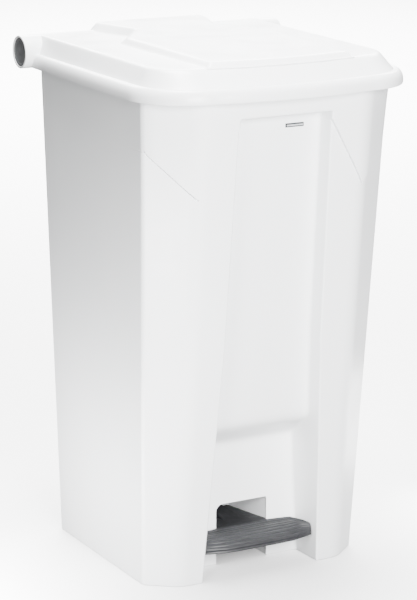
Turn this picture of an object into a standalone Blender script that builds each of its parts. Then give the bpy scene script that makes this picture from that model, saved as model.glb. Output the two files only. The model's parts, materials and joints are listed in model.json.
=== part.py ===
"""Pedal bin, about 90 litres: tapered plastic body, hinged lid, foot pedal and lift rod.

Metres, +Z up, front towards -Y. The origin is on the floor, under the middle of the bin's box.
Pressing the pedal tips a lever under the tub, which lifts a rod up the back of the body.
The rod's slotted head pushes a crank on the lid, and the lid swings open about its rear axle.
"""
import math

import bmesh
import bpy
from mathutils import Matrix, Vector

MM = 0.001
GAP = 0.3                      # clearance between touching pieces, mm

# ---- body (mm) ----
BODY_TOP = 762.0               # rim of the tub
REF_HEIGHT = 748.0             # height at which the upper widths below are given
HALF_WIDTH_FLOOR = 185.4
HALF_WIDTH_TOP = 208.1
FRONT_FLOOR = -136.9
FRONT_TOP = -207.9
BACK = 191.5
FOLD_X = 139.0                 # vertical fold between front and corner facet
CORNER_SLOPE = 0.8             # depth of the corner facet for each mm of its width
BACK_CORNER = 4.5
WALL = 3.5
TUB_FLOOR = 118.0              # underside of the tub's floor
LIP_FROM = 731.0
LIP_PROUD = 1.5
COLLAR_PROUD = 3.0             # how far the collar's two pointed shields stand out on the folds
COLLAR_APEX = 611.0
COLLAR_OUTER = 695.0           # height of the shield's edge where it meets the side
COLLAR_INNER = 712.0           # height of the shield's edge at the recess

# ---- recessed front panel and toe niche (mm) ----
PANEL_DEPTH = 30.0
PANEL_TOP = 723.0
NICHE_Y = -76.5
NICHE_TOP = 200.0
PANEL_FOOT = 236.0
SLOT_HALF = 45.0
SLOT_TOP = 98.0
SLOT_CORNER = 12.0
RIB = 4.0                      # side walls of the pedal channel
RIB_BACK = 78.0

# ---- badge (mm) ----
BADGE_AT = (32.0, 705.0)
BADGE_SIZE = (31.0, 1.2, 7.0)

# ---- hinge (mm) ----
AXIS_Y = 223.0
AXIS_Z = 778.2
BARREL_R = 25.7
BARREL_HALF = 229.0
BARREL_INNER = 88.0
BORE_R = 22.2
AXLE_R = 6.0
BRACKET_X = (54.0, 68.0)
BUSH_R = 8.0

# ---- lid (mm) ----
LID_HALF = 224.3
LID_HALF_BACK = 214.6
LID_FRONT = -248.4
LID_BOW = 14.0
LID_CORNER = 93.0
LID_BOTTOM = 754.7
LID_WALL = 3.0
BEAD_TOP = 776.5               # top of the rounded bead round the lid's edge
CREST_SIDE = 32.8              # inset of the crest at the sides
CREST_FRONT = 45.0             # inset of the crest at the front
BACK_SHARE = 0.58              # share of an inset that applies at the back of the sides
TOP_FRONT = 799.5
TOP_BACK = 803.5
RAISED_FRONT = 807.7
RAISED_BACK = 816.0
BUMPER_X = 205.0
BUMPER_Y = -100.0

# ---- lift linkage (mm) ----
CRANK_R = 22.0
CRANK_SCREW_X = 24.0
CRANK_PIN_R = 3.0
LID_OPEN = 75.0                # degrees
ROD_Y = 203.0
ROD_HALF = (8.0, 4.0)
PIVOT_Y = 50.0
PIVOT_Z = 46.0
PEDAL_AXLE_R = 5.0

# ---- pedal (mm) ----
TREAD_HALF = 94.0
TREAD_TOP = 62.0
TREAD_LIP = 41.0
TREAD_FRONT = -141.0
ARM_HALF = 43.5
ARM_UNDER = 57.0               # underside of the tread's skin
LEVER_LOW = 51.7
LEVER_THICK = 5.0
LEVER_SCREWS = (-20.0, 15.0)

PARTS = None
CUTTERS = None
MATERIALS = {}


def clear_scene():
    for obj in list(bpy.data.objects):
        bpy.data.objects.remove(obj, do_unlink=True)


def collection(name):
    made = bpy.data.collections.new(name)
    bpy.context.scene.collection.children.link(made)
    return made


def material(name, colour, roughness, metallic=0.0):
    made = bpy.data.materials.new(name)
    made.use_nodes = True
    shader = made.node_tree.nodes["Principled BSDF"]
    shader.inputs["Base Color"].default_value = (*colour, 1.0)
    shader.inputs["Roughness"].default_value = roughness
    shader.inputs["Metallic"].default_value = metallic
    MATERIALS[name] = made


def add(name, bm, slot=None):
    """Turn a bmesh in millimetres into an object: a part if it has a material, else a cutter."""
    bmesh.ops.scale(bm, vec=(MM, MM, MM), verts=bm.verts)
    bmesh.ops.recalc_face_normals(bm, faces=bm.faces)
    mesh = bpy.data.meshes.new(name)
    bm.to_mesh(mesh)
    bm.free()
    obj = bpy.data.objects.new(name, mesh)
    if slot is None:
        CUTTERS.objects.link(obj)
        obj.hide_render = True
        obj.display_type = "WIRE"
    else:
        PARTS.objects.link(obj)
        mesh.materials.append(MATERIALS[slot])
    return obj


def boolean(obj, other, operation="DIFFERENCE"):
    mod = obj.modifiers.new(operation.title() + " " + other.name, "BOOLEAN")
    mod.operation = operation
    mod.solver = "EXACT"
    mod.object = other
    return obj


def origin_at(obj, y, z):
    """Put an object's origin on an axis that runs along X."""
    shift = Vector((0.0, y * MM, z * MM))
    obj.data.transform(Matrix.Translation(-shift))
    obj.location = shift
    return obj


def smooth(obj, angle=35.0):
    obj.data.shade_smooth()
    obj.data.set_sharp_from_angle(angle=math.radians(angle))
    return obj


def box(name, x, y, z, slot=None):
    bm = bmesh.new()
    bmesh.ops.create_cube(bm, size=1.0)
    size = (x[1] - x[0], y[1] - y[0], z[1] - z[0])
    centre = ((x[0] + x[1]) / 2, (y[0] + y[1]) / 2, (z[0] + z[1]) / 2)
    bmesh.ops.scale(bm, vec=size, verts=bm.verts)
    bmesh.ops.translate(bm, vec=centre, verts=bm.verts)
    return add(name, bm, slot)


def rod_between(name, start, end, radius, slot=None, sides=24):
    """A cylinder from one point to another."""
    a = Vector(start)
    b = Vector(end)
    bm = bmesh.new()
    depth = (b - a).length
    bmesh.ops.create_cone(bm, cap_ends=True, segments=sides, radius1=radius, radius2=radius, depth=depth)
    turn = Vector((0, 0, 1)).rotation_difference(b - a).to_matrix().to_4x4()
    bmesh.ops.transform(bm, matrix=Matrix.Translation((a + b) / 2) @ turn, verts=bm.verts)
    return add(name, bm, slot)


def prism(name, outline, low, high, axis, slot=None):
    """Extrude a closed outline along X or Z; the outline is (y, z) for X and (x, y) for Z."""
    bm = bmesh.new()
    ends = []
    for level in (low, high):
        if axis == "X":
            ends.append([bm.verts.new((level, p[0], p[1])) for p in outline])
        else:
            ends.append([bm.verts.new((p[0], p[1], level)) for p in outline])
    skin(bm, ends)
    return add(name, bm, slot)


def skin(bm, rings):
    """Join rings of vertices into a closed skin with flat ends."""
    count = len(rings[0])
    for lower, upper in zip(rings, rings[1:]):
        for i in range(count):
            j = (i + 1) % count
            bm.faces.new((lower[i], lower[j], upper[j], upper[i]))
    bm.faces.new(list(reversed(rings[0])))
    bm.faces.new(rings[-1])


def loft(name, sections, slot=None):
    """Skin a stack of closed outlines, each a list of (x, y, z) of one length."""
    bm = bmesh.new()
    skin(bm, [[bm.verts.new(p) for p in section] for section in sections])
    return add(name, bm, slot)


def arc(centre, radius, start, end, steps):
    """Points on an arc, angles in degrees, both ends included."""
    points = []
    for i in range(steps + 1):
        a = math.radians(start + (end - start) * i / steps)
        points.append((centre[0] + radius * math.cos(a), centre[1] + radius * math.sin(a)))
    return points


def mirrored(half):
    """Close an outline from its right half, which runs from the front to the back."""
    return half + [(-x, y) for x, y in reversed(half)]


# ---------------------------------------------------------------- body

def half_width(z):
    return HALF_WIDTH_FLOOR + (HALF_WIDTH_TOP - HALF_WIDTH_FLOOR) * z / REF_HEIGHT


def front(z):
    return FRONT_FLOOR + (FRONT_TOP - FRONT_FLOOR) * z / REF_HEIGHT


def body_outline(z, inset=0.0, proud=0.0):
    """Cross-section of the body at a height, moved in by inset (or out if negative).

    The front stands out by proud, and this fades to nothing at the edge with the side.
    """
    side = half_width(z) - inset
    fold = FOLD_X - inset * 0.36
    nose = front(z) + inset
    corner = nose + CORNER_SLOPE * (side - fold)
    radius = BACK_CORNER - inset
    back = arc((side - radius, BACK - inset - radius), radius, 0, 90, 3)
    return mirrored([(fold, nose - proud), (side, corner)] + back)


def level(z, inset=0.0, proud=0.0):
    return [(x, y, z) for x, y in body_outline(z, inset, proud)]


def recess_half(z):
    """Half the width between the two front columns at a height."""
    stations = [(-60.0, 104.0), (0.0, 101.0), (378.0, 82.5), (PANEL_TOP, 77.0), (900.0, 74.0)]
    for (z0, w0), (z1, w1) in zip(stations, stations[1:]):
        if z <= z1:
            return w0 + (w1 - w0) * (z - z0) / (z1 - z0)
    return stations[-1][1]


def recess_cutter(name, grow=0.0, lowest=-10.0):
    """The space in front of the recessed panel and in the toe niche, grown by a wall."""
    stations = [
        (lowest, NICHE_Y),
        (NICHE_TOP + grow * 0.5, NICHE_Y),
        (PANEL_FOOT + grow * 0.5, front(PANEL_FOOT) + PANEL_DEPTH),
        (378.0, front(378.0) + PANEL_DEPTH),
        (PANEL_TOP + grow, front(PANEL_TOP + grow) + PANEL_DEPTH),
    ]
    sections = []
    for z, y in stations:
        wide = recess_half(z) + grow
        deep = y + grow
        sections.append([(-wide, -400.0, z), (wide, -400.0, z), (wide - 2.0, deep, z), (-wide + 2.0, deep, z)])
    return loft(name, sections)


def collar():
    """The raised collar under the lid, whose lower edge drops to a point on each front fold."""
    buried = 0.3
    low = COLLAR_APEX - 15.0
    proud = COLLAR_PROUD + buried
    band = loft("collar_tool", [level(low, buried, proud), level(LIP_FROM + 1.0, buried, proud)])
    wide = half_width(COLLAR_OUTER)
    below = [
        (300.0, low - 10.0), (300.0, COLLAR_OUTER), (wide, COLLAR_OUTER),
        (FOLD_X, COLLAR_APEX), (recess_half(COLLAR_INNER), COLLAR_INNER),
    ]
    outline = below + [(-x, z) for x, z in reversed(below)]
    boolean(band, prism_y("collar_edge_tool", outline, -300.0, 300.0))
    return band


def make_body():
    body = loft("body", [level(0.0), level(BODY_TOP)], "white_plastic")
    boolean(body, collar(), "UNION")
    lip_levels = [(LIP_FROM, 0.5), (LIP_FROM + 2.0, -LIP_PROUD), (BODY_TOP, -LIP_PROUD)]
    lip = loft("lip_tool", [level(z, inset, COLLAR_PROUD) for z, inset in lip_levels])
    boolean(body, lip, "UNION")
    boolean(body, recess_cutter("recess_tool"))

    cavity = loft("cavity_tool", [level(TUB_FLOOR + WALL, WALL), level(BODY_TOP + 5.0, WALL)])
    boolean(cavity, recess_cutter("recess_wall_tool", grow=WALL))
    boolean(body, cavity)

    under = loft("under_tool", [level(-5.0, WALL), level(TUB_FLOOR, WALL)])
    boolean(under, recess_cutter("niche_wall_tool", grow=WALL))
    for side in (-1, 1):
        reach = sorted((side * SLOT_HALF, side * (SLOT_HALF + RIB)))
        boolean(under, box("rib_tool", reach, (NICHE_Y - 10, RIB_BACK), (-20, 200)))
    boolean(body, under)

    slot_corner = arc((SLOT_HALF - SLOT_CORNER, SLOT_TOP - SLOT_CORNER), SLOT_CORNER, 0, 90, 4)
    slot = mirrored([(SLOT_HALF, -5.0)] + slot_corner)
    boolean(body, prism_y("slot_tool", slot, NICHE_Y - 12, NICHE_Y + 30))
    boolean(body, box("rear_notch_tool", (-20, 20), (BACK - 12, BACK + 12), (-5, 100)))
    boolean(body, axle_tool("pedal_axle_hole", 70.0, PIVOT_Y, PIVOT_Z, PEDAL_AXLE_R + GAP))
    for x, z in cover_screw_places() + bracket_screw_places():
        boolean(body, rod_between("wall_hole_tool", (x, BACK - 8, z), (x, BACK + 4, z), HOLE_R, sides=12))
    return body


def prism_y(name, outline, low, high, slot=None):
    """Extrude a closed (x, z) outline along Y."""
    sections = [[(x, y, z) for x, z in outline] for y in (low, high)]
    return loft(name, sections, slot)


def axle_tool(name, half, y, z, radius, sides=24):
    return rod_between(name, (-half, y, z), (half, y, z), radius, sides=sides)


# ---------------------------------------------------------------- rear cover and rod guides

COVER_HALF = 34.0
COVER_DEEP = 23.5
COVER_LOW = 6.0
COVER_TOP = 728.0
FLANGE_HALF = 48.0
COVER_SCREWS = (40.0, 370.0, 700.0)
SCREW_R = 1.9
HOLE_R = 2.2


def cover_screw_places():
    return [(side * 41.0, z) for side in (-1, 1) for z in COVER_SCREWS]


def bracket_screw_places():
    return [(side * 80.0, z) for side in (-1, 1) for z in (697.0, 723.0)]


def make_cover():
    near = BACK + GAP
    far = near + COVER_DEEP
    cover = box("rear_cover", (-COVER_HALF, COVER_HALF), (near, far), (COVER_LOW, COVER_TOP), "white_plastic")
    flange = box("flange_tool", (-FLANGE_HALF, FLANGE_HALF), (near, near + 3.0), (COVER_LOW, COVER_TOP - 20))
    boolean(cover, flange, "UNION")
    inner = (-COVER_HALF + 3.0, COVER_HALF - 3.0)
    boolean(cover, box("cover_inner_tool", inner, (near - 5, far - 3.0), (COVER_LOW - 5, COVER_TOP + 5)))
    for x, z in cover_screw_places():
        boolean(cover, rod_between("cover_hole_tool", (x, near - 3, z), (x, near + 8, z), HOLE_R, sides=12))
    return cover


def screw(name, x, z, seat, tip):
    """A pan-head screw that points forward (-Y), its head on the seat."""
    head = rod_between(name, (x, seat + GAP, z), (x, seat + 3.0, z), 4.0, "steel", sides=12)
    boolean(head, rod_between("shank_tool", (x, tip, z), (x, seat + 1.0, z), SCREW_R, sides=12), "UNION")
    return head


def make_cover_screws():
    for i, (x, z) in enumerate(cover_screw_places(), 1):
        screw("rear_cover_screw_%d" % i, x, z, BACK + GAP + 3.0, BACK - WALL + 0.5)


def make_guides():
    for name, z in (("rod_guide_lower", 150.0), ("rod_guide_upper", 600.0)):
        guide = box(name, (-28, 28), (BACK + GAP, BACK + 20.0), (z, z + 14), "grey_plastic")
        hole_x = (-ROD_HALF[0] - 0.4, ROD_HALF[0] + 0.4)
        hole_y = (ROD_Y - ROD_HALF[1] - 0.4, ROD_Y + ROD_HALF[1] + 0.4)
        boolean(guide, box("guide_hole_tool", hole_x, hole_y, (z - 5, z + 20)))


# ---------------------------------------------------------------- hinge

def make_brackets():
    for side, word in ((-1, "left"), (1, "right")):
        near = BACK + GAP
        past_lip = near + LIP_PROUD + 1.0
        plate_outline = [
            (near, 690.0), (near + 5.0, 690.0), (AXIS_Y - 9.0, 750.0), (AXIS_Y - 8.0, 768.0),
            (AXIS_Y - 22.0, 768.0), (past_lip, 745.0), (past_lip, 729.0), (near, 728.0),
        ]
        x = sorted((side * BRACKET_X[0], side * BRACKET_X[1]))
        bracket = prism("hinge_bracket_" + word, plate_outline, x[0], x[1], "X", "grey_plastic")
        boss = rod_between("boss_tool", (x[0], AXIS_Y, AXIS_Z), (x[1], AXIS_Y, AXIS_Z), 15.0, sides=32)
        boolean(bracket, boss, "UNION")
        foot_x = sorted((side * (BRACKET_X[0] + 2), side * 90.0))
        boolean(bracket, box("foot_tool", foot_x, (near, near + 4.0), (690.0, 728.0)), "UNION")
        boolean(bracket, axle_tool("bush_hole_tool", 100.0, AXIS_Y, AXIS_Z, BUSH_R + GAP, 32))
        for sx, z in bracket_screw_places():
            if sx * side > 0:
                hole = rod_between("foot_hole_tool", (sx, near - 3, z), (sx, near + 9, z), HOLE_R, sides=12)
                boolean(bracket, hole)
    for i, (x, z) in enumerate(bracket_screw_places(), 1):
        screw("hinge_bracket_screw_%d" % i, x, z, BACK + GAP + 4.0, BACK - WALL + 0.5)


def make_bushes():
    for side, word in ((-1, "left"), (1, "right")):
        x0 = side * (BRACKET_X[0] - 1.0)
        x1 = side * (BRACKET_X[1] + GAP)
        x2 = side * (BRACKET_X[1] + 2.5)
        ends = [(x0, AXIS_Y, AXIS_Z), (x2, AXIS_Y, AXIS_Z)]
        bush = rod_between("hinge_bush_" + word, ends[0], ends[1], BUSH_R, "black_plastic", 32)
        collar = rod_between("bush_collar_tool", (x1, AXIS_Y, AXIS_Z), (x2, AXIS_Y, AXIS_Z), 11.0, sides=32)
        boolean(bush, collar, "UNION")
        boolean(bush, axle_tool("bush_bore_tool", 100.0, AXIS_Y, AXIS_Z, AXLE_R + GAP, 32))


def make_axle():
    reach = BARREL_HALF - 6.0
    axle = rod_between("hinge_axle", (-reach, AXIS_Y, AXIS_Z), (reach, AXIS_Y, AXIS_Z), AXLE_R, "steel", 32)
    smooth(axle)
    origin_at(axle, AXIS_Y, AXIS_Z)


def make_plugs():
    for side, word in ((-1, "left"), (1, "right")):
        face = BARREL_HALF - 1.0
        ends = [(side * (face - 4.0), AXIS_Y, AXIS_Z), (side * face, AXIS_Y, AXIS_Z)]
        plug = rod_between("end_plug_" + word, ends[0], ends[1], BORE_R - GAP, "dark_grey_plastic", 32)
        hub_ends = [(side * (face - 24.0), AXIS_Y, AXIS_Z), (side * (face - 2.0), AXIS_Y, AXIS_Z)]
        hub = rod_between("hub_tool", hub_ends[0], hub_ends[1], 10.0, sides=32)
        boolean(plug, hub, "UNION")
        bore_end = (side * (BARREL_HALF - 5.7), AXIS_Y, AXIS_Z)
        bore = rod_between("hub_bore_tool", (side * 190.0, AXIS_Y, AXIS_Z), bore_end, AXLE_R + GAP, sides=32)
        boolean(plug, bore)
        origin_at(plug, AXIS_Y, AXIS_Z)


# ---------------------------------------------------------------- lid

def lid_outline(wall, inset_side, inset_front, back_y):
    """Plan outline of the lid: bowed front, round corners, sides that close in towards the back."""
    half = LID_HALF - wall - inset_side
    half_back = LID_HALF_BACK - wall - BACK_SHARE * inset_side
    nose = LID_FRONT + wall + inset_front
    corner = LID_CORNER - wall - 0.5 * (inset_side + inset_front)
    flat = half - corner
    points = [(flat * i / 5, nose + LID_BOW * (i / 5) ** 2) for i in range(6)]
    points += arc((flat, nose + LID_BOW + corner), corner, -90, 0, 9)[1:]
    start = nose + LID_BOW + corner
    for i in range(1, 6):
        t = i / 5
        points.append((half - (half - half_back) * t ** 1.5, start + (back_y - start) * t))
    return points[::-1] + [(-x, y) for x, y in points[1:]]


def lid_sections(wall, back_y):
    """Levels of the lid from its lower edge to its top, or of its hollow when wall is not zero."""
    drop = wall * 1.1
    low = LID_BOTTOM - (20.0 if wall else 0.0)
    levels = [
        (1.0, 1.0, low, low),
        (0.0, 0.0, 760.0, 760.0),
        (1.0, 1.0, 768.0 - drop * 0.3, 768.0 - drop * 0.3),
        (4.3, 4.3, BEAD_TOP - 3.0 - drop * 0.6, BEAD_TOP - 3.0 - drop * 0.6),
        (9.9, 9.9, BEAD_TOP - drop, BEAD_TOP - drop),
        (CREST_SIDE - 5.0, CREST_FRONT - 7.0, 795.5 - drop, 799.5 - drop),
        (CREST_SIDE + 5.0, CREST_FRONT + 7.0, TOP_FRONT - drop, TOP_BACK - drop),
    ]
    sections = []
    for inset_side, inset_front, z_front, z_back in levels:
        section = []
        for x, y in lid_outline(wall, inset_side, inset_front, back_y):
            t = (y - LID_FRONT) / (AXIS_Y - LID_FRONT)
            section.append((x, y, z_front + (z_back - z_front) * t))
        sections.append(section)
    return sections


def raised_panel(name, grow, drop, low):
    """The raised panel on the lid: wide in front, waisted, then wider over the hinge."""
    base = [(0, -203), (61, -200), (122, -191), (128, 73), (76, 145), (101, 212), (101, AXIS_Y + 4)]
    crown = [(0, -191.5), (58, -188.7), (116, -180.5), (122, 69), (70, 143), (88, 214), (87, AXIS_Y + 3)]

    def ring(points, front_z, back_z):
        half = [(x + grow * (x > 0), y + (grow if y > 0 else -grow)) for x, y in points]
        closed = half + [(-x, y) for x, y in reversed(half[1:])]
        return [(x, y, front_z + (back_z - front_z) * (y + 190.0) / (AXIS_Y + 190.0)) for x, y in closed]

    return loft(name, [ring(base, low, low), ring(base, 799.0 - drop, 803.0 - drop),
                       ring(crown, RAISED_FRONT - drop, RAISED_BACK - drop)])


def hood(name, half_top, half_low, inset, low, start):
    """The cover over the middle of the hinge, rounded at the back."""
    radius = 25.0 - inset
    top = RAISED_BACK - inset
    back = AXIS_Y + BARREL_R - inset
    profile = [(start, low), (start, top - 1.0), (back - radius, top)]
    profile += arc((back - radius, top - radius), radius, 90, 0, 6)[1:]
    profile += [(back, low)]
    halves = [half_low + (half_top - half_low) * max(0.0, (z - 790.0) / 26.0) for _, z in profile]
    sections = [[(side * h, y, z) for h, (y, z) in zip(halves, profile)] for side in (-1, 1)]
    return loft(name, sections)


def make_lid():
    lid = loft("lid", lid_sections(0.0, AXIS_Y), "white_plastic")
    boolean(lid, raised_panel("raised_tool", 0.0, 0.0, 790.0), "UNION")
    boolean(lid, loft("lid_hollow_tool", lid_sections(LID_WALL, AXIS_Y + 20)))
    boolean(lid, raised_panel("raised_hollow_tool", -LID_WALL, LID_WALL * 1.05, 780.0))
    boolean(lid, axle_tool("barrel_tool", BARREL_HALF, AXIS_Y, AXIS_Z, BARREL_R, 48), "UNION")
    boolean(lid, hood("hood_tool", 86.0, 100.0, 0.0, 771.0, 214.0), "UNION")
    centre = (-BARREL_INNER + 4.0, BARREL_INNER - 4.0)
    boolean(lid, hood("hood_hollow_tool", 76.0, centre[1], LID_WALL, 740.0, 194.0))
    boolean(lid, box("hood_mouth_tool", centre, (150.0, 260.0), (740.0, 771.0)))
    for side in (-1, 1):
        start = (side * (BARREL_INNER + 4.0), AXIS_Y, AXIS_Z)
        end = (side * (BARREL_HALF + 5.0), AXIS_Y, AXIS_Z)
        boolean(lid, rod_between("bore_tool", start, end, BORE_R, sides=48))
        post_ends = [(side * BUMPER_X, BUMPER_Y, 769.7), (side * BUMPER_X, BUMPER_Y, 778.5)]
        post = rod_between("post_tool", post_ends[0], post_ends[1], 5.0, sides=12)
        boolean(lid, post, "UNION")
    boolean(lid, axle_tool("axle_hole_tool", 120.0, AXIS_Y, AXIS_Z, AXLE_R + GAP, 32))
    for side in (-1, 1):
        x = side * CRANK_SCREW_X
        boolean(lid, rod_between("lid_pilot_tool", (x, AXIS_Y, 805), (x, AXIS_Y, 815.2), HOLE_R, sides=12))
    origin_at(lid, AXIS_Y, AXIS_Z)


def make_bumpers():
    for side, word in ((-1, "left"), (1, "right")):
        low = BODY_TOP + GAP
        ends = [(side * BUMPER_X, BUMPER_Y, low), (side * BUMPER_X, BUMPER_Y, 769.4)]
        bumper = rod_between("lid_bumper_" + word, ends[0], ends[1], 5.5, "rubber", 16)
        origin_at(bumper, AXIS_Y, AXIS_Z)


def crank_pin_place():
    """The pin hangs below the axle's level by half the lid's swing."""
    a = math.radians(LID_OPEN / 2)
    return AXIS_Y - CRANK_R * math.cos(a), AXIS_Z - CRANK_R * math.sin(a)


def make_crank():
    pin_y, pin_z = crank_pin_place()
    under = RAISED_BACK - LID_WALL - 1.2
    crank = rod_between("lid_crank", (-15, AXIS_Y, AXIS_Z), (15, AXIS_Y, AXIS_Z), 10.5, "steel", 32)
    boolean(crank, box("crank_web_tool", (-4, 4), (AXIS_Y - 8, AXIS_Y + 8), (AXIS_Z, under - 2)), "UNION")
    flange = box("crank_flange_tool", (-32, 32), (AXIS_Y - 14, AXIS_Y + 5.5), (under - 4, under))
    boolean(crank, flange, "UNION")
    for side in (-1, 1):
        x = sorted((side * 10.0, side * 15.0))
        arm_dir = Vector((0, pin_y - AXIS_Y, pin_z - AXIS_Z)).normalized()
        across = Vector((0, -arm_dir.z, arm_dir.y)) * 6.0
        hub = Vector((0, AXIS_Y, AXIS_Z))
        tip = Vector((0, pin_y, pin_z)) + arm_dir * 2.0
        corners = [hub + across, tip + across, tip - across, hub - across]
        arm = prism("crank_arm_tool", [(c.y, c.z) for c in corners], x[0], x[1], "X")
        boolean(crank, arm, "UNION")
        tip_round = rod_between("crank_tip_tool", (x[0], pin_y, pin_z), (x[1], pin_y, pin_z), 6.0, sides=20)
        boolean(crank, tip_round, "UNION")
        hole_x = side * CRANK_SCREW_X
        hole_ends = [(hole_x, AXIS_Y, 800), (hole_x, AXIS_Y, 820)]
        boolean(crank, rod_between("crank_hole_tool", hole_ends[0], hole_ends[1], HOLE_R, sides=12))
    boolean(crank, axle_tool("crank_bore_tool", 30.0, AXIS_Y, AXIS_Z, AXLE_R + GAP, 32))
    boolean(crank, axle_tool("crank_pin_hole_tool", 30.0, pin_y, pin_z, CRANK_PIN_R + GAP, 20))
    origin_at(crank, AXIS_Y, AXIS_Z)

    pin = rod_between("crank_pin", (-16.5, pin_y, pin_z), (16.5, pin_y, pin_z), CRANK_PIN_R, "steel", 20)
    origin_at(pin, AXIS_Y, AXIS_Z)
    for side, word in ((-1, "left"), (1, "right")):
        seat = under - 4.0
        x = side * CRANK_SCREW_X
        head_ends = [(x, AXIS_Y, seat - 3.0), (x, AXIS_Y, seat - GAP)]
        head = rod_between("crank_screw_" + word, head_ends[0], head_ends[1], 4.0, "steel", 12)
        shank = rod_between("crank_shank_tool", (x, AXIS_Y, seat - 1.0), (x, AXIS_Y, 814.8), SCREW_R, sides=12)
        boolean(head, shank, "UNION")
        origin_at(head, AXIS_Y, AXIS_Z)


# ---------------------------------------------------------------- push rod

def make_rod():
    pin_y, pin_z = crank_pin_place()
    x, y = ROD_HALF
    foot_top = 66.0
    rod = box("push_rod", (-x, x), (ROD_Y - y, ROD_Y + y), (foot_top - 8, pin_z - 9), "steel")
    head = box("rod_head_tool", (-x, x), (194.2, 211.0), (pin_z - 10, pin_z + 9))
    boolean(rod, head, "UNION")
    slot = [(197.6, pin_z - 3.6), (209.0, pin_z - 3.6), (209.0, pin_z + 3.6), (197.6, pin_z + 3.6)]
    boolean(rod, prism("rod_slot_tool", slot, -30, 30, "X"))

    lever_top = PIVOT_Z + LEVER_THICK / 2
    profile = [(ROD_Y + 7, foot_top), (ROD_Y - 7, foot_top)]
    profile += arc((ROD_Y, lever_top + GAP + 7.0), 7.0, 180, 360, 8)
    foot = prism("rod_foot", profile, -11, 11, "X", "black_plastic")
    socket_x = (-x - GAP, x + GAP)
    socket_y = (ROD_Y - y - GAP, ROD_Y + y + GAP)
    boolean(foot, box("foot_socket_tool", socket_x, socket_y, (foot_top - 8 - GAP, foot_top + 5)))


# ---------------------------------------------------------------- pedal

def make_pedal():
    """A ribbed tread on an arm that runs back through the slot to the pedal axle."""
    half = [
        (50.0, TREAD_FRONT + 0.6), (80.0, TREAD_FRONT + 3.0), (TREAD_HALF, TREAD_FRONT + 10.0),
        (TREAD_HALF, -128.0), (83.0, -86.5), (ARM_HALF + 3.0, -80.0),
        (ARM_HALF, -80.0), (ARM_HALF, PIVOT_Y + 12.0),
    ]
    outline = mirrored(half) + [(0.0, TREAD_FRONT)]
    pedal = prism("pedal", outline, TREAD_LIP, TREAD_TOP, "Z", "dark_grey_plastic")
    nose = [(TREAD_FRONT - 5, 80.0), (TREAD_FRONT - 5, TREAD_LIP + 4.0)]
    nose += [(TREAD_FRONT + 2.0, TREAD_LIP + 7.0), (-128.0, 57.0), (-112.0, TREAD_TOP + 0.5), (-112.0, 80.0)]
    boolean(pedal, prism("nose_tool", nose, -120, 120, "X"))
    belly = [(TREAD_FRONT + 5.0, 30.0), (TREAD_FRONT + 5.0, TREAD_LIP + 3.0), (-120.0, 55.0)]
    belly += [(-100.0, ARM_UNDER), (PIVOT_Y - 14.0, ARM_UNDER), (PIVOT_Y - 14.0, 30.0)]
    boolean(pedal, prism("belly_tool", belly, -ARM_HALF + 4.0, ARM_HALF - 4.0, "X"))
    for side in (-1, 1):
        x = sorted((side * (ARM_HALF + 1.0), side * (TREAD_HALF - 15.0)))
        hollow = [(TREAD_FRONT + 9.0, 30.0), (TREAD_FRONT + 9.0, TREAD_LIP + 3.0), (-120.0, 54.0)]
        hollow += [(-92.0, ARM_UNDER), (-92.0, 30.0)]
        boolean(pedal, prism("tread_hollow_tool", hollow, x[0], x[1], "X"))
    boolean(pedal, axle_tool("pedal_bore_tool", 60.0, PIVOT_Y, PIVOT_Z, PEDAL_AXLE_R + GAP))
    for y in LEVER_SCREWS:
        boolean(pedal, rod_between("lever_pilot_tool", (0, y, 50), (0, y, 70), HOLE_R, sides=12))
    boolean(pedal, box("lever_channel_tool", (-10.5, 10.5), (PIVOT_Y - 20, PIVOT_Y + 30), (30.0, ARM_UNDER)))
    origin_at(pedal, PIVOT_Y, PIVOT_Z)


def make_lever():
    """A flat steel bar with a collar round the axle, running from the arm to the rod's foot."""
    up = PIVOT_Z + LEVER_THICK / 2
    low = PIVOT_Z - LEVER_THICK / 2
    arm_top = LEVER_LOW + LEVER_THICK
    side_view = [
        (-45.0, LEVER_LOW), (25.0, LEVER_LOW), (34.0, low), (ROD_Y + 9.0, low),
        (ROD_Y + 9.0, up), (36.0, up), (26.0, arm_top), (-45.0, arm_top),
    ]
    lever = prism("pedal_lever", side_view, -10.0, 10.0, "X", "steel")
    boolean(lever, axle_tool("lever_hub_tool", 10.0, PIVOT_Y, PIVOT_Z, 9.0), "UNION")
    boolean(lever, axle_tool("lever_bore_tool", 30.0, PIVOT_Y, PIVOT_Z, PEDAL_AXLE_R + GAP))
    for y in LEVER_SCREWS:
        boolean(lever, rod_between("lever_hole_tool", (0, y, 45), (0, y, 70), HOLE_R, sides=12))
    origin_at(lever, PIVOT_Y, PIVOT_Z)
    for i, y in enumerate(LEVER_SCREWS, 1):
        head_ends = [(0, y, LEVER_LOW - 3.0), (0, y, LEVER_LOW - GAP)]
        head = rod_between("lever_screw_%d" % i, head_ends[0], head_ends[1], 4.0, "steel", 12)
        boolean(head, rod_between("lever_shank_tool", (0, y, 51.0), (0, y, 61.0), SCREW_R, sides=12), "UNION")
        origin_at(head, PIVOT_Y, PIVOT_Z)


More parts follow.
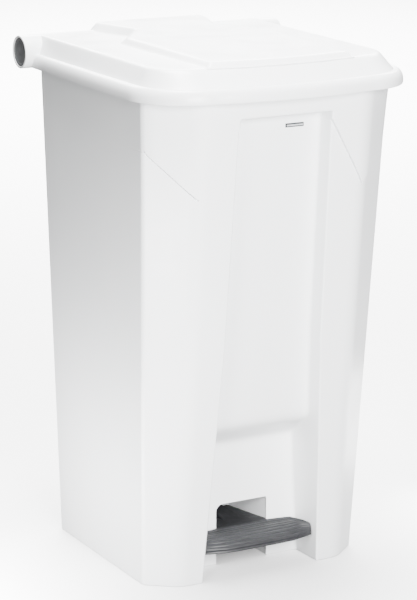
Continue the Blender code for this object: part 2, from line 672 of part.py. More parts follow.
def make_pedal_axle():
    reach = SLOT_HALF + RIB + 6.0
    ends = [(-reach, PIVOT_Y, PIVOT_Z), (reach, PIVOT_Y, PIVOT_Z)]
    axle = rod_between("pedal_axle", ends[0], ends[1], PEDAL_AXLE_R, "steel", 24)
    origin_at(axle, PIVOT_Y, PIVOT_Z)
    for side, word in ((-1, "left"), (1, "right")):
        start = (side * (SLOT_HALF + RIB + GAP), PIVOT_Y, PIVOT_Z)
        end = (side * (SLOT_HALF + RIB + 8.0), PIVOT_Y, PIVOT_Z)
        cap = rod_between("axle_cap_" + word, start, end, 8.0, "black_plastic", 24)
        bore = [(side * SLOT_HALF, PIVOT_Y, PIVOT_Z), (side * (reach + GAP), PIVOT_Y, PIVOT_Z)]
        boolean(cap, rod_between("cap_bore_tool", bore[0], bore[1], PEDAL_AXLE_R + GAP))


# ---------------------------------------------------------------- badge

def make_badge():
    """A plain oblong badge on the upper end of the recessed panel."""
    tilt = math.atan2(FRONT_FLOOR - FRONT_TOP, REF_HEIGHT)
    z = BADGE_AT[1]
    y = front(z) + PANEL_DEPTH - GAP
    bm = bmesh.new()
    bmesh.ops.create_cube(bm, size=1.0)
    bmesh.ops.scale(bm, vec=BADGE_SIZE, verts=bm.verts)
    bmesh.ops.rotate(bm, cent=(0, 0, 0), matrix=Matrix.Rotation(tilt, 3, "X"), verts=bm.verts)
    bmesh.ops.translate(bm, vec=(BADGE_AT[0], y - BADGE_SIZE[1] / 2, z), verts=bm.verts)
    add("badge", bm, "dark_grey_plastic")


def main():
    global PARTS, CUTTERS
    clear_scene()
    PARTS = collection("pedal_bin")
    CUTTERS = collection("cutters")
    material("white_plastic", (0.86, 0.87, 0.87), 0.35)
    material("dark_grey_plastic", (0.09, 0.10, 0.105), 0.5)
    material("grey_plastic", (0.45, 0.46, 0.47), 0.45)
    material("black_plastic", (0.03, 0.03, 0.03), 0.5)
    material("rubber", (0.04, 0.04, 0.04), 0.8)
    material("steel", (0.6, 0.6, 0.6), 0.35, 1.0)
    make_body()
    make_cover()
    make_cover_screws()
    make_guides()
    make_brackets()
    make_bushes()
    make_axle()
    make_plugs()
    make_lid()
    make_bumpers()
    make_crank()
    make_rod()
    make_pedal()
    make_lever()
    make_pedal_axle()
    make_badge()


main()
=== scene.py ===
"""Pedal bin: the finished look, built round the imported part.

Lengths are in millimetres until a mesh is made. Lights and camera are in metres.
"""

import json
import math

import bmesh
import bpy
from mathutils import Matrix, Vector


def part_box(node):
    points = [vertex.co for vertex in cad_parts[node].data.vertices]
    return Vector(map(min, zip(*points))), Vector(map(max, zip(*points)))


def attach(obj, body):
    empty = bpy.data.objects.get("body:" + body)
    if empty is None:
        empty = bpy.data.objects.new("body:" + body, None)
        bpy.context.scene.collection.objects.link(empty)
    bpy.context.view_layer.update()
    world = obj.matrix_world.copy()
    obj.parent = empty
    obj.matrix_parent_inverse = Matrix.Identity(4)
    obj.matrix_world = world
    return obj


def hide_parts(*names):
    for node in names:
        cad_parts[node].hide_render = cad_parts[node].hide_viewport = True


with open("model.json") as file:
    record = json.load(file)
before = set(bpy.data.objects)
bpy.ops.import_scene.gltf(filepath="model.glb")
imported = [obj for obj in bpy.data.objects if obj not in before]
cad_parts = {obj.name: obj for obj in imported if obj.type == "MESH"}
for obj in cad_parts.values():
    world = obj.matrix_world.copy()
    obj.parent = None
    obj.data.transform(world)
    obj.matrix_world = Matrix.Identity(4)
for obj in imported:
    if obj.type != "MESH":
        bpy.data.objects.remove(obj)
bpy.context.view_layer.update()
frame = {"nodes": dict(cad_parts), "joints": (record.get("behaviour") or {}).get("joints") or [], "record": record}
MM = 0.001

# ---- body ----
BODY_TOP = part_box("body")[1].z / MM
REF_HEIGHT = 748.0                 # height at which the upper widths below are given
HALF_WIDTH = (185.4, 208.1)        # at the floor and at REF_HEIGHT
FRONT = (-136.9, -207.9)
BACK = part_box("rear_cover")[0].y / MM - 0.3
FOLD_X = 139.0                     # soft vertical fold between front and corner facet
CORNER_SLOPE = 0.8
WALL = 3.5
TUB_FLOOR = 118.0
TUB_CORNER = 9.0                   # radius between the tub's floor and its walls
COLLAR_STEP = (2.8, 2.0)           # on the front and at the outer end of the facet
COLLAR_FLARE = (0.8, 2.6)          # further reach at the rim: on the front, on the facet
FLARE_FADE = 60.0                  # along the side, from the facet back
COLLAR_GROOVE = 2.2                # depth of the shadow line under the collar
GROOVE_BELOW = 1.2                 # its distance below the collar's edge
GROOVE_HALF = 1.4                  # half of its height
STEP_HALF = 1.0                    # half of the height over which the collar steps out
COLLAR_APEX = 609.0                # heights of the edge: at the fold, at the side, at the recess
COLLAR_OUTER = 681.0
COLLAR_INNER = 712.0
COLLAR_INNER_X = 79.0
COLLAR_OUTER_X = 204.5
VEE_REACH = 2.6                    # rows this far above and below the edge follow its slope
VEE_LOW = 560.0                    # level rows end here, below the collar's edge
VEE_HIGH = 716.5                   # and start again here
REFERENCE_Z = 650.0                # height of the section whose widths place the collar's edge
FOLD_ROUND = 15.0                  # how far each edge's rounding runs along the faces beside it
EDGE_ROUND = 5.5
BACK_ROUND = 5.0
RECESS_ROUND = 2.6
RECESS_INNER_ROUND = 5.0

# ---- recess and toe niche ----
PANEL_DEPTH = 30.0
PANEL_TOP = 723.0
PANEL_FOOT = 236.0
NICHE_TOP = 200.0
NICHE_Y = -76.5
SLOT_HALF = 45.0
SLOT_TOP = 98.0
SLOT_CORNER = (12.0, 3.0)          # left, right
RIB_BACK = 78.0
RIB_THICK = 4.0
NOTCH_HALF = 20.0                  # the lever's way out at the back
BELOW_FLOOR = -5.0                 # cutters start here
# Half width of the recess at heights.
RECESS_WIDTHS = [(-60.0, 104.0), (0.0, 101.0), (378.0, 82.5), (PANEL_TOP, 77.0), (900.0, 74.0)]
# How much of the recess has ended, at heights above RECESS_END below the panel's top.
RECESS_END = 3.7
RECESS_CLOSING = [
    (-1.0, 0.0), (0.0, 0.01), (1.6, 0.05), (2.6, 0.12), (3.2, 0.25), (3.7, 0.5),
    (4.2, 0.75), (4.8, 0.9), (5.8, 0.97), (7.2, 1.0), (99.0, 1.0),
]

# ---- lid ----
HINGE = frame["joints"][0]["pos_m"]
AXIS_Y = HINGE[1] / MM
AXIS_Z = HINGE[2] / MM
BARREL_R = 25.7
BARREL_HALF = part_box("lid")[1].x / MM
BORE_R = 22.2
LID_HALF = 224.3
LID_HALF_BACK = 214.6
LID_FRONT = -248.4
LID_BOW = 14.0
LID_CORNER = 93.0
LID_BOTTOM = 754.7
CREST_SIDE = 32.8
CREST_FRONT = 45.0
BACK_SHARE = 0.58                  # share of an inset that applies at the back of the sides
TOP_FRONT = 799.5                  # the lid's top and the raised panel's, at the front and at the hinge
TOP_BACK = 803.5
RAISED_FRONT = 807.7
RAISED_BACK = 816.0
RAISED_START = -190.0              # where the raised panel has its front height
PANEL_RUNS = (0, 0, 5.0, 7.0, 7.0, 5.0, 0)
PANEL_STEPS = (0, 1, 4, 4, 4, 4, 0)
PANEL_SPLITS = (2, 2, 6, 3, 3, 1)
SHEET = 3.0                        # thickness of the lid
HOOD_ROUND = 25.0
HOOD_SLOPE = (790.0, 26.0)         # height where its sides start to lean, and the height they lean over
MOUTH_TOP = 771.0                  # the brackets reach into the hood below this


# ---------------------------------------------------------------- mesh helpers

def piece(name, bm, body, slot, *nodes):
    """Make an object of a bmesh in millimetres, ride it on a body and let it stand for CAD nodes."""
    bmesh.ops.scale(bm, vec=(MM, MM, MM), verts=bm.verts)
    bmesh.ops.recalc_face_normals(bm, faces=bm.faces)
    if bm.calc_volume(signed=True) < 0.0:
        bmesh.ops.reverse_faces(bm, faces=bm.faces)
    mesh = bpy.data.meshes.new(name)
    bm.to_mesh(mesh)
    bm.free()
    obj = bpy.data.objects.new(name, mesh)
    bpy.context.scene.collection.objects.link(obj)
    if body:
        mesh.materials.append(LOOKS[slot])
        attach(obj, body)
        if nodes:
            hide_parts(*nodes)
    return obj


def tool(name, bm):
    return piece(name, bm, None, None)


def joined(rings, closed):
    """Faces between rings of points and a flat face at each end, and the rings as vertices."""
    bm = bmesh.new()
    loops = [[bm.verts.new(p) for p in ring] for ring in rings]
    count = len(loops[0])
    for lower, upper in zip(loops, loops[1:]):
        for i in range(count if closed else count - 1):
            j = (i + 1) % count
            bm.faces.new((lower[i], lower[j], upper[j], upper[i]))
    bm.faces.new(list(reversed(loops[0])))
    bm.faces.new(loops[-1])
    return bm, loops


def lofted(rings):
    return joined(rings, True)[0]


def backed(rings):
    """A loft of outlines that are open at the back, closed there by one flat face."""
    bm, loops = joined(rings, False)
    bm.faces.new([loop[-1] for loop in loops] + [loop[0] for loop in reversed(loops)])
    return bm


def prism(outline, reach):
    """A solid with the outline (y, z), from one x to another."""
    return lofted([[(x, y, z) for y, z in outline] for x in reach])


def apply_boolean(obj, other, operation):
    mod = obj.modifiers.new(operation, "BOOLEAN")
    mod.operation = operation
    mod.solver = "EXACT"
    mod.object = other
    bpy.context.view_layer.update()
    shown = obj.evaluated_get(bpy.context.evaluated_depsgraph_get())
    mesh = bpy.data.meshes.new_from_object(shown)
    obj.modifiers.remove(mod)
    old = obj.data
    obj.data = mesh
    bpy.data.meshes.remove(old)
    bpy.data.objects.remove(other)


def shade(obj, angle=38.0, weighted=True):
    """Smooth shading with sharp creases, and normals that keep the large faces flat."""
    obj.data.shade_smooth()
    obj.data.set_sharp_from_angle(angle=math.radians(angle))
    if weighted:
        mod = obj.modifiers.new("Weighted Normal", "WEIGHTED_NORMAL")
        mod.keep_sharp = True
        mod.weight = 80


def rounded(corners, steps, splits):
    """An open outline through corners (x, y, run in, run out), each rounded by an arc.

    steps is the number of pieces of each arc, and splits that of each straight stretch.
    """
    last = len(corners) - 1
    arcs = []
    for i, (x, y, run_in, run_out) in enumerate(corners):
        here = Vector((x, y))
        if i in (0, last):
            arcs.append([here])
            continue
        before = Vector(corners[i - 1][:2]) - here
        after = Vector(corners[i + 1][:2]) - here
        a = here + before.normalized() * min(run_in, before.length * 0.45)
        b = here + after.normalized() * min(run_out, after.length * 0.45)
        weight = max(0.2, math.cos((math.pi - before.angle(after)) / 2))
        points = []
        for k in range(steps[i] + 1):
            t = k / steps[i]
            share = [(1 - t) ** 2, 2 * t * (1 - t) * weight, t * t]
            points.append((a * share[0] + here * share[1] + b * share[2]) / sum(share))
        arcs.append(points)
    outline = list(arcs[0])
    for i in range(last):
        start = arcs[i][-1]
        end = arcs[i + 1][0]
        for k in range(1, splits[i]):
            outline.append(start.lerp(end, k / splits[i]))
        outline += arcs[i + 1]
    return outline


def arc(centre, radius, start, end, steps):
    points = []
    for i in range(steps + 1):
        a = math.radians(start + (end - start) * i / steps)
        points.append((centre[0] + radius * math.cos(a), centre[1] + radius * math.sin(a)))
    return points


def blend_line(x, start, end):
    return min(1.0, max(0.0, (x - start) / (end - start)))


def blend_step(t):
    t = min(1.0, max(0.0, t))
    return t * t * (3.0 - 2.0 * t)


def table(stations, z):
    """Straight lines between (z, value) stations."""
    for (z0, v0), (z1, v1) in zip(stations, stations[1:]):
        if z <= z1:
            return v0 + (v1 - v0) * (z - z0) / (z1 - z0)
    return stations[-1][1]


def turned(profile, steps=64):
    """A solid turned about the hinge's axis, with flat ends; the profile is (x, radius)."""
    rings = []
    for x, r in profile:
        ring = []
        for k in range(steps):
            a = 2 * math.pi * k / steps
            ring.append((x, AXIS_Y + r * math.cos(a), AXIS_Z + r * math.sin(a)))
        rings.append(ring)
    return lofted(rings)


def box_bm(x, y, z):
    bm = bmesh.new()
    bmesh.ops.create_cube(bm, size=1.0)
    bmesh.ops.scale(bm, vec=(x[1] - x[0], y[1] - y[0], z[1] - z[0]), verts=bm.verts)
    centre = ((x[0] + x[1]) / 2, (y[0] + y[1]) / 2, (z[0] + z[1]) / 2)
    bmesh.ops.translate(bm, vec=centre, verts=bm.verts)
    return bm


def soften(obj, width):
    """Round the edges of an object by a width."""
    mod = obj.modifiers.new("Bevel", "BEVEL")
    mod.width = width * MM
    mod.segments = 2
    mod.limit_method = "ANGLE"
    mod.angle_limit = math.radians(30.0)
    mod.harden_normals = False
    shade(obj)


# ---------------------------------------------------------------- materials

def new_material(name, colour, roughness, metallic=0.0):
    made = bpy.data.materials.new(name)
    made.use_nodes = True
    shader = made.node_tree.nodes["Principled BSDF"]
    shader.inputs["Base Color"].default_value = (*colour, 1.0)
    shader.inputs["Roughness"].default_value = roughness
    shader.inputs["Metallic"].default_value = metallic
    return made, made.node_tree, shader


def noise(tree, scale, detail=3.0, stretch=(1, 1, 1), roughness=0.5):
    """Solid noise in the part's own coordinates."""
    place = tree.nodes.new("ShaderNodeTexCoord")
    mapping = tree.nodes.new("ShaderNodeMapping")
    mapping.inputs["Scale"].default_value = stretch
    made = tree.nodes.new("ShaderNodeTexNoise")
    made.inputs["Scale"].default_value = scale
    made.inputs["Detail"].default_value = detail
    made.inputs["Roughness"].default_value = roughness
    tree.links.new(place.outputs["Object"], mapping.inputs["Vector"])
    tree.links.new(mapping.outputs["Vector"], made.inputs["Vector"])
    return made.outputs["Fac"]


def spread(tree, value, low, high):
    node = tree.nodes.new("ShaderNodeMapRange")
    node.inputs["From Min"].default_value = 0.3
    node.inputs["From Max"].default_value = 0.7
    node.inputs["To Min"].default_value = low
    node.inputs["To Max"].default_value = high
    tree.links.new(value, node.inputs["Value"])
    return node.outputs["Result"]


def tint(tree, value, dark, light, from_low=0.3, from_high=0.7):
    ramp = tree.nodes.new("ShaderNodeValToRGB")
    ramp.color_ramp.elements[0].position = from_low
    ramp.color_ramp.elements[0].color = (*dark, 1.0)
    ramp.color_ramp.elements[1].position = from_high
    ramp.color_ramp.elements[1].color = (*light, 1.0)
    tree.links.new(value, ramp.inputs["Fac"])
    return ramp.outputs["Color"]


def colour_from(tree, shader, value, *tones):
    tree.links.new(tint(tree, value, *tones), shader.inputs["Base Color"])


def roughness_from(tree, shader, value, low, high):
    tree.links.new(spread(tree, value, low, high), shader.inputs["Roughness"])


def bump(tree, shader, value, strength, distance, below=None):
    node = tree.nodes.new("ShaderNodeBump")
    node.inputs["Strength"].default_value = strength
    node.inputs["Distance"].default_value = distance
    tree.links.new(value, node.inputs["Height"])
    if below:
        tree.links.new(below, node.inputs["Normal"])
    tree.links.new(node.outputs["Normal"], shader.inputs["Normal"])
    return node.outputs["Normal"]


def white_plastic():
    """Injection-moulded polypropylene: nearly smooth, with faint flow and a fine orange peel."""
    made, tree, shader = new_material("white_plastic", (0.86, 0.87, 0.875), 0.33)
    shader.inputs["IOR"].default_value = 1.49
    cloud = noise(tree, 5.0, 4.0, (1.0, 1.0, 0.4))
    colour_from(tree, shader, cloud, (0.835, 0.848, 0.858), (0.865, 0.872, 0.878))
    roughness_from(tree, shader, noise(tree, 22.0, 5.0), 0.28, 0.40)
    broad = bump(tree, shader, noise(tree, 26.0, 2.0), 0.10, 0.0006)
    bump(tree, shader, noise(tree, 900.0, 2.0), 0.10, 0.0001, broad)
    return made


def dark_plastic(name, dark, light, grain):
    """Dark moulded plastic with a fine spark-eroded grain and a few rubbed, lighter places."""
    made, tree, shader = new_material(name, light, 0.5)
    rubbed = noise(tree, 38.0, 6.0, (0.5, 1.0, 1.0), 0.65)
    colour_from(tree, shader, rubbed, dark, light, 0.35, 0.72)
    roughness_from(tree, shader, noise(tree, 60.0, 4.0), 0.42, 0.58)
    bump(tree, shader, noise(tree, grain, 3.0), 0.25, 0.00015)
    shader.inputs["Specular IOR Level"].default_value = 0.35
    return made


def rubber():
    made, tree, shader = new_material("rubber", (0.02, 0.02, 0.02), 0.8)
    colour_from(tree, shader, noise(tree, 90.0), (0.012, 0.012, 0.012), (0.03, 0.03, 0.03))
    bump(tree, shader, noise(tree, 1200.0), 0.2, 0.0001)
    return made


def steel():
    """Zinc-plated steel: fine drawn lines and cloudy plating."""
    made, tree, shader = new_material("steel", (0.62, 0.63, 0.64), 0.3, 1.0)
    colour_from(tree, shader, noise(tree, 45.0, 5.0), (0.52, 0.53, 0.55), (0.70, 0.70, 0.69))
    roughness_from(tree, shader, noise(tree, 240.0, 3.0, (1.0, 1.0, 0.06)), 0.24, 0.42)
    bump(tree, shader, noise(tree, 700.0, 2.0, (1.0, 1.0, 0.05)), 0.12, 0.00008)
    return made


# Name: darker tone, lighter tone, scale of the grain.
DARK_PLASTICS = {
    "dark_grey_plastic": ((0.015, 0.0155, 0.017), (0.025, 0.0255, 0.028), 1500.0),
    # The plugs get a lighter tone of the same dark grey plastic. This is painted light that makes up for the shade
    # they sit in.
    "plug_plastic_painted_light": ((0.125, 0.127, 0.132), (0.165, 0.167, 0.172), 1500.0),
    "grey_plastic": ((0.36, 0.37, 0.38), (0.44, 0.45, 0.46), 1300.0),
    "black_plastic": ((0.012, 0.012, 0.013), (0.025, 0.025, 0.026), 1400.0),
}
LOOKS = {"white_plastic": white_plastic()}
LOOKS.update({name: dark_plastic(name, *values) for name, values in DARK_PLASTICS.items()})
LOOKS["rubber"] = rubber()
LOOKS["steel"] = steel()


# ---------------------------------------------------------------- body

def half_width(z):
    return HALF_WIDTH[0] + (HALF_WIDTH[1] - HALF_WIDTH[0]) * z / REF_HEIGHT


def front(z):
    return FRONT[0] + (FRONT[1] - FRONT[0]) * z / REF_HEIGHT


def recess_half(z):
    return table(RECESS_WIDTHS, z)


def recess_left(z, wall):
    """How much of the recess's depth is there at a height: all of it, then none above its rounded top."""
    return 1.0 - table(RECESS_CLOSING, max(-1.0, z - PANEL_TOP - wall + RECESS_END))


def panel_y(z, wall):
    """Depth of the recess: the panel, the soft overhang at its foot, and the toe niche."""
    foot_y = front(PANEL_FOOT) + PANEL_DEPTH
    corners = [
        (-50.0, NICHE_Y, 0, 0),
        (NICHE_TOP + wall / 2, NICHE_Y, 9.0, 12.0),
        (PANEL_FOOT + wall / 2, foot_y, 14.0, 16.0),
        (REF_HEIGHT, front(REF_HEIGHT) + PANEL_DEPTH, 0, 0),
    ]
    profile = [tuple(p) for p in rounded(corners, (0, 8, 8, 0), (1, 1, 1))]
    recessed = table(profile, z) + wall
    open_front = front(z) + wall
    return open_front + (recessed - open_front) * recess_left(z, wall)


def half_section(z, wall):
    """Right half of the body's section at a height: panel, recess side, column, facet, side, back."""
    side = half_width(z) - wall
    fold = FOLD_X - wall * 0.36
    nose = front(z) + wall
    corner = nose + CORNER_SLOPE * (side - fold)
    edge = recess_half(z) + wall
    deep = panel_y(z, wall)
    shrink = 0.5 if wall > 1.0 else 1.0
    corners = [
        (0.0, deep, 0, 0),
        (edge - 2.0, deep, RECESS_INNER_ROUND, RECESS_INNER_ROUND),
        (edge, nose, RECESS_ROUND * shrink, RECESS_ROUND * shrink),
        (fold, nose, FOLD_ROUND, FOLD_ROUND),
        (side, corner, EDGE_ROUND * shrink, EDGE_ROUND * shrink),
        (side, BACK - wall, BACK_ROUND * shrink, BACK_ROUND * shrink),
        (0.0, BACK - wall, 0, 0),
    ]
    return rounded(corners, SECTION_STEPS, SECTION_SPLITS)


SECTION_STEPS = (0, 4, 5, 8, 6, 4, 0)
SECTION_SPLITS = (8, 3, 7, 8, 8, 8)
# Points of the section: last of the panel, first of the column, middle of the fold, start of the edge.
PANEL_END = SECTION_SPLITS[0]
COLUMN_START = PANEL_END + SECTION_STEPS[1] + SECTION_SPLITS[1]
FOLD_AT = COLUMN_START + SECTION_STEPS[2] + SECTION_SPLITS[2] + SECTION_STEPS[3] // 2
EDGE_AT = FOLD_AT + SECTION_STEPS[3] // 2 + SECTION_SPLITS[3]
EDGE_Y = FRONT[1] + CORNER_SLOPE * (HALF_WIDTH[1] - FOLD_X)


def collar_edge(j, x):
    """Height of the collar's lower edge at a column of the section."""
    if j <= COLUMN_START:
        return COLLAR_INNER
    if j <= FOLD_AT:
        along = blend_line(x, COLLAR_INNER_X, FOLD_X)
        return COLLAR_INNER + (COLLAR_APEX - COLLAR_INNER) * along
    if j <= EDGE_AT:
        along = blend_line(x, FOLD_X, COLLAR_OUTER_X)
        return COLLAR_APEX + (COLLAR_OUTER - COLLAR_APEX) * along
    return COLLAR_OUTER


def collar_share(j, z):
    """How far a column of the front takes part in the collar: the recess only where it has ended."""
    if j > COLUMN_START:
        return 1.0
    reach = blend_line(j, PANEL_END + 2, COLUMN_START)
    return reach + (1.0 - reach) * (1.0 - recess_left(z, 0.0))


def collar_offset(j, base, edge, z):
    """How far the collar moves a point, and the way.

    The way is forward on the front and square to the facet beside it.
    """
    facet_end = 204.0
    along = blend_line(base.x, FOLD_X, facet_end)
    fade = max(0.0, 1.0 - (base.y - EDGE_Y) / FLARE_FADE) if j > EDGE_AT else 1.0
    step = COLLAR_STEP[0] + (COLLAR_STEP[1] - COLLAR_STEP[0]) * along
    step *= 1.0 - blend_line(base.x, facet_end - 8.0, facet_end)
    flare = COLLAR_FLARE[0] + (COLLAR_FLARE[1] - COLLAR_FLARE[0]) * blend_step(along * 2.0)
    rise = max(0.0, z - edge) / (BODY_TOP - edge)
    groove = COLLAR_GROOVE * max(0.0, 1.0 - abs(z - edge + GROOVE_BELOW) / GROOVE_HALF) * fade
    stepped = step * blend_step((z - edge + STEP_HALF) / (2.0 * STEP_HALF))
    amount = stepped + flare * fade * rise ** 1.5 - groove
    turn = math.atan2(1.0, CORNER_SLOPE) * blend_step(along * 3.0)
    return Vector((math.sin(turn), -math.cos(turn))) * amount * collar_share(j, z)


# Heights of the level rows of the outer skin: up to the collar, and round the top of the recess.
LOW_ROWS = (
    14, 45, 91, 125, 152, 176, 186, 192, 197, 201, 205, 210, 216, 222, 226, 230, 234,
    238, 243, 250, 262, 300, 345, 378, 440, 500, 545,
)
HIGH_ROWS = (
    717.5, 719.3, 720.9, 721.9, 722.5, 723.0, 723.5, 724.1, 725.1, 726.5, 729.0,
    740.0, 750.0, 760.4,
)
VEE_ROWS = (-VEE_REACH, -1.2, -0.8, -0.4, 0.0, 0.4, 0.8, 1.2, VEE_REACH)


def outer_rows():
    """Rows of the outer skin from the floor up: (how the height is found, value, outward offset)."""
    rows = [("at", 0.0, -1.3), ("at", 0.4, -0.45), ("at", 1.3, 0.0)]
    rows += [("at", z, 0.0) for z in LOW_ROWS]
    rows += [("below", 0.5, 0.0)]
    rows += [("vee", rise, 0.0) for rise in VEE_ROWS]
    rows += [("above", 0.5, 0.0)]
    rows += [("at", z, 0.0) for z in HIGH_ROWS]
    rows += [("at", 761.3, -0.2), ("at", BODY_TOP, -0.9)]
    return rows


def row_height(kind, value, edge):
    """Height of a row at a column where the collar's edge is at a given height."""
    if kind == "at":
        return value
    if kind == "vee":
        return edge + value
    if kind == "below":
        return VEE_LOW + (edge - VEE_REACH - VEE_LOW) * value
    return edge + VEE_REACH + (VEE_HIGH - edge - VEE_REACH) * value


def outward(section, j):
    """Direction out of the body at a column, across the section."""
    a = section[max(0, j - 1)]
    b = section[min(len(section) - 1, j + 1)]
    along = (b - a).normalized()
    return Vector((along.y, -along.x))


SECTIONS = {}


def section_at(z, wall):
    key = (round(z, 3), wall)
    if key not in SECTIONS:
        SECTIONS[key] = half_section(z, wall)
    return SECTIONS[key]


def body_ring(kind, value, offset, wall=0.0):
    """One closed ring of the body's skin, both halves."""
    reference = section_at(REFERENCE_Z, 0.0)
    half = []
    for j, base in enumerate(reference):
        edge = collar_edge(j, base.x)
        z = row_height(kind, value, edge)
        section = section_at(z, wall)
        point = section[j] + outward(section, j) * offset
        if wall == 0.0:
            point = point + collar_offset(j, base, edge, z)
        half.append((point.x, point.y, z))
    left = [(-x, y, z) for x, y, z in reversed(half[1:-1])]
    return half + left


TUB_ROWS = (
    745, 735, 731, 729, 728, 727.4, 727, 726.6, 726, 725, 723.5, 720, 690, 560, 378,
    262, 246, 240, 234, 226, 218, 210, 205, 200, 192, 160, 134,
)


def tub_rings():
    """The inside of the tub from the rim down to its floor."""
    rings = [body_ring("at", BODY_TOP, 0.7, WALL), body_ring("at", BODY_TOP - 0.8, 0.0, WALL)]
    rings += [body_ring("at", z, 0.0, WALL) for z in TUB_ROWS]
    steps = 5
    floor = TUB_FLOOR + WALL
    for k in range(1, steps + 1):
        a = math.radians(90 * k / steps)
        z = floor + TUB_CORNER - TUB_CORNER * math.sin(a)
        rings.append(body_ring("at", z, 0.0, WALL + TUB_CORNER * (1 - math.cos(a))))
    return rings


def under_rings():
    """The hollow under the tub, from its flat top down to the foot ring."""
    steps = [(TUB_FLOOR, 7.0), (TUB_FLOOR - 2.0, 2.0), (TUB_FLOOR - 7.0, 0.0)]
    steps += [(60.0, 0.0), (0.9, 0.0), (0.0, -0.9)]
    return [body_ring("at", z, 0.0, WALL + inset) for z, inset in steps]


def slot_cutter():
    """The pedal's slot through the wall of the toe niche."""
    outline = [(SLOT_HALF, BELOW_FLOOR)]
    for side, r, start in ((1, SLOT_CORNER[1], 0), (-1, SLOT_CORNER[0], 90)):
        outline += arc((side * (SLOT_HALF - r), SLOT_TOP - r), r, start, start + 90, 10)
    outline.append((-SLOT_HALF, BELOW_FLOOR))
    return lofted([[(x, y, z) for x, z in outline] for y in (NICHE_Y - 12.0, NICHE_Y + 30.0)])


def make_body():
    """The moulded body: one closed shell, cut for the pedal and the lever, and two ribs inside."""
    rings = under_rings() + [body_ring(*row) for row in outer_rows()] + tub_rings()
    body = piece("moulded_body", lofted(rings), "frame", "white_plastic", "body")
    apply_boolean(body, tool("slot_tool", slot_cutter()), "DIFFERENCE")
    notch = box_bm((-NOTCH_HALF, NOTCH_HALF), (BACK - 12.0, BACK + 12.0), (BELOW_FLOOR, 100.0))
    apply_boolean(body, tool("notch_tool", notch), "DIFFERENCE")
    shade(body)

    for side, word in ((-1, "left"), (1, "right")):
        reach = sorted((side * SLOT_HALF, side * (SLOT_HALF + RIB_THICK)))
        rib = box_bm(reach, (NICHE_Y + 1.5, RIB_BACK), (0.6, TUB_FLOOR + 1.0))
        soften(piece("channel_rib_" + word, rib, "frame", "white_plastic"), 0.6)


# ---------------------------------------------------------------- lid

def lid_outline(wall, side, nose_in, back_y):
    """Plan outline of the lid from the right back corner round the front to the left back corner."""
    half = LID_HALF - wall - side
    half_back = LID_HALF_BACK - wall - BACK_SHARE * side
    nose = LID_FRONT + wall + nose_in
    corner = LID_CORNER - wall - 0.5 * (side + nose_in)
    flat = half - corner
    start = nose + LID_BOW + corner
    across, along = 8, 10
    points = [(flat * i / across, nose + LID_BOW * (i / across) ** 2) for i in range(across + 1)]
    points += arc((flat, start), corner, -90, 0, 18)[1:]
    for i in range(1, along + 1):
        t = i / along
        points.append((half - (half - half_back) * t ** 1.5, start + (back_y - start) * t))
    return points[::-1] + [(-x, y) for x, y in points[1:]]


def lid_ring(wall, side, nose_in, z_front, z_back, back_y):
    """The lid's plan outline, moved in at the sides and the nose, on a plane that tilts to the back."""
    ring = []
    for x, y in lid_outline(wall, side, nose_in, back_y):
        t = (y - LID_FRONT) / (AXIS_Y - LID_FRONT)
        ring.append((x, y, z_front + (z_back - z_front) * t))
    return ring


# The edge of the lid: (how far in, height above the bottom), over the bead and into the groove.
BEAD = [
    (1.3, 0.0), (0.6, 0.6), (0.15, 2.0), (0.0, 4.2), (0.05, 7.2), (0.5, 10.6), (1.6, 14.0), (3.2, 17.0),
    (5.4, 19.4), (7.9, 21.0), (10.2, 21.6), (12.2, 21.3), (13.3, 20.7), (14.3, 20.6), (15.4, 21.1),
]
# Share of the border's width and of its height: a straight slope, then the rounded crest.
CREST = [
    (0.25, 0.25), (0.6, 0.6), (0.78, 0.775), (0.87, 0.855), (0.95, 0.915), (1.04, 0.958),
    (1.14, 0.986), (1.26, 1.0),
]
# The inside of the edge: (how far in, height above the bottom).
HOLLOW_EDGE = [
    (-1.2, -20.0), (-1.2, -0.6), (-0.8, 0.8), (0.0, 2.4), (0.3, 9.0), (1.2, 12.5), (3.6, 15.6),
    (7.6, 17.4), (12.0, 17.9),
]


def lid_solid():
    """The lid's outer form: lower edge, rounded bead, groove, sloped border, rounded crest, top."""
    rings = []
    for inset, rise in BEAD:
        rings.append(lid_ring(0.0, inset, inset, LID_BOTTOM + rise, LID_BOTTOM + rise, AXIS_Y))
    first = BEAD[-1][0]
    start = LID_BOTTOM + BEAD[-1][1]
    run_side = CREST_SIDE - first
    run_front = CREST_FRONT - first
    for t, lift in CREST:
        z_front = start + (TOP_FRONT - start) * lift
        z_back = start + (TOP_BACK - start) * lift
        rings.append(lid_ring(0.0, first + run_side * t, first + run_front * t, z_front, z_back, AXIS_Y))
    return backed(rings)


def lid_hollow():
    """The space under the lid's sheet."""
    back = AXIS_Y + 20.0
    rings = []
    for inset, rise in HOLLOW_EDGE:
        rings.append(lid_ring(SHEET, inset, inset, LID_BOTTOM + rise, LID_BOTTOM + rise, back))
    rings.append(lid_ring(SHEET, CREST_SIDE - 3.0, CREST_FRONT - 5.0, 793.2, 797.0, back))
    top_front = TOP_FRONT - SHEET - 0.2
    top_back = TOP_BACK - SHEET - 0.2
    rings.append(lid_ring(SHEET, CREST_SIDE + 6.0, CREST_FRONT + 8.0, top_front, top_back, back))
    return backed(rings)


